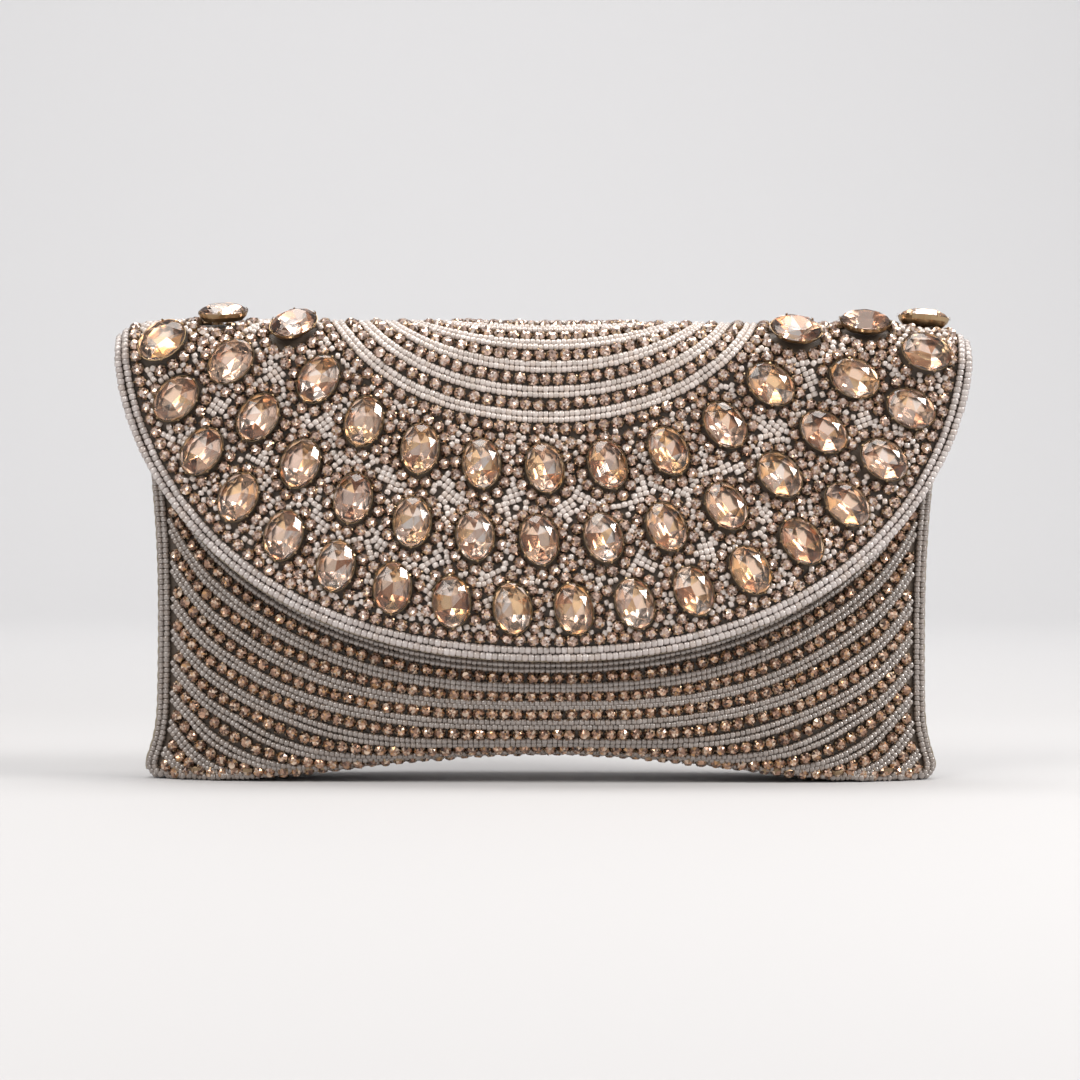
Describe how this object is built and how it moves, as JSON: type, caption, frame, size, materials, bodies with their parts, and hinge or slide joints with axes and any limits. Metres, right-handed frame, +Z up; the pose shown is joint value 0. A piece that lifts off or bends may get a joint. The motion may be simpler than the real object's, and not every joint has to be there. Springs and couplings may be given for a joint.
{
  "type": "evening bag",
  "caption": "Beaded envelope evening clutch with a rounded fold-over flap set with oval crystals, a magnetic snap and a lined pouch.",
  "frame": {"origin": "on the surface the bag stands on, under the middle of its overall size", "axes": "+X towards the right side seam as seen from the front, +Z up, the flap hangs on the -Y side"},
  "size_m": [0.235, 0.0524, 0.1304],
  "materials": {
    "beadwork": "satin cloth covered with pearly seed beads and claw-set rhinestones",
    "crystal": "faceted, foiled, peach",
    "satin": "champagne satin",
    "piping": "old-gold satin cord",
    "buckram": "matt, stiff, woven",
    "brass": "polished, light gold",
    "magnet": "nickel-plated",
    "steel": "plain"
  },
  "bodies": {
    "bag_body": {"front_panel": "beadwork", "back_panel": "beadwork", "front_board": "buckram", "back_board": "buckram", "lining_pouch": "satin", "slip_pocket": "satin", "snap_socket": "brass", "snap_magnet": "magnet", "socket_washer": "steel"},
    "flap": {"flap_panel": "beadwork", "flap_board": "buckram", "flap_lining": "satin", "flap_piping": "piping", "snap_stud": "brass", "stud_washer": "steel", "crystal_inner_01": "crystal", "crystal_inner_02": "crystal", "crystal_inner_03": "crystal", "crystal_inner_04": "crystal", "crystal_inner_05": "crystal", "crystal_inner_06": "crystal", "crystal_inner_07": "crystal", "crystal_inner_08": "crystal", "crystal_inner_09": "crystal", "crystal_inner_10": "crystal", "crystal_inner_11": "crystal", "crystal_middle_01": "crystal", "crystal_middle_02": "crystal", "crystal_middle_03": "crystal", "crystal_middle_04": "crystal", "crystal_middle_05": "crystal", "crystal_middle_06": "crystal", "crystal_middle_07": "crystal", "crystal_middle_08": "crystal", "crystal_middle_09": "crystal", "crystal_middle_10": "crystal", "crystal_middle_11": "crystal", "crystal_middle_12": "crystal", "crystal_middle_13": "crystal", "crystal_middle_14": "crystal", "crystal_middle_15": "crystal", "crystal_outer_01": "crystal", "crystal_outer_02": "crystal", "crystal_outer_03": "crystal", "crystal_outer_04": "crystal", "crystal_outer_05": "crystal", "crystal_outer_06": "crystal", "crystal_outer_07": "crystal", "crystal_outer_08": "crystal", "crystal_outer_09": "crystal", "crystal_outer_10": "crystal", "crystal_outer_11": "crystal", "crystal_outer_12": "crystal", "crystal_outer_13": "crystal", "crystal_outer_14": "crystal", "crystal_outer_15": "crystal", "crystal_outer_16": "crystal", "crystal_outer_17": "crystal", "crystal_outer_18": "crystal", "crystal_outer_19": "crystal"}
  },
  "joints": [
    {"name": "flap_hinge", "type": "hinge", "parent": "bag_body", "child": "flap", "pos_m": [0, 0.01542, 0.11945], "axis": [-1, 0, 0], "range_deg": [0, 140]}
  ]
}
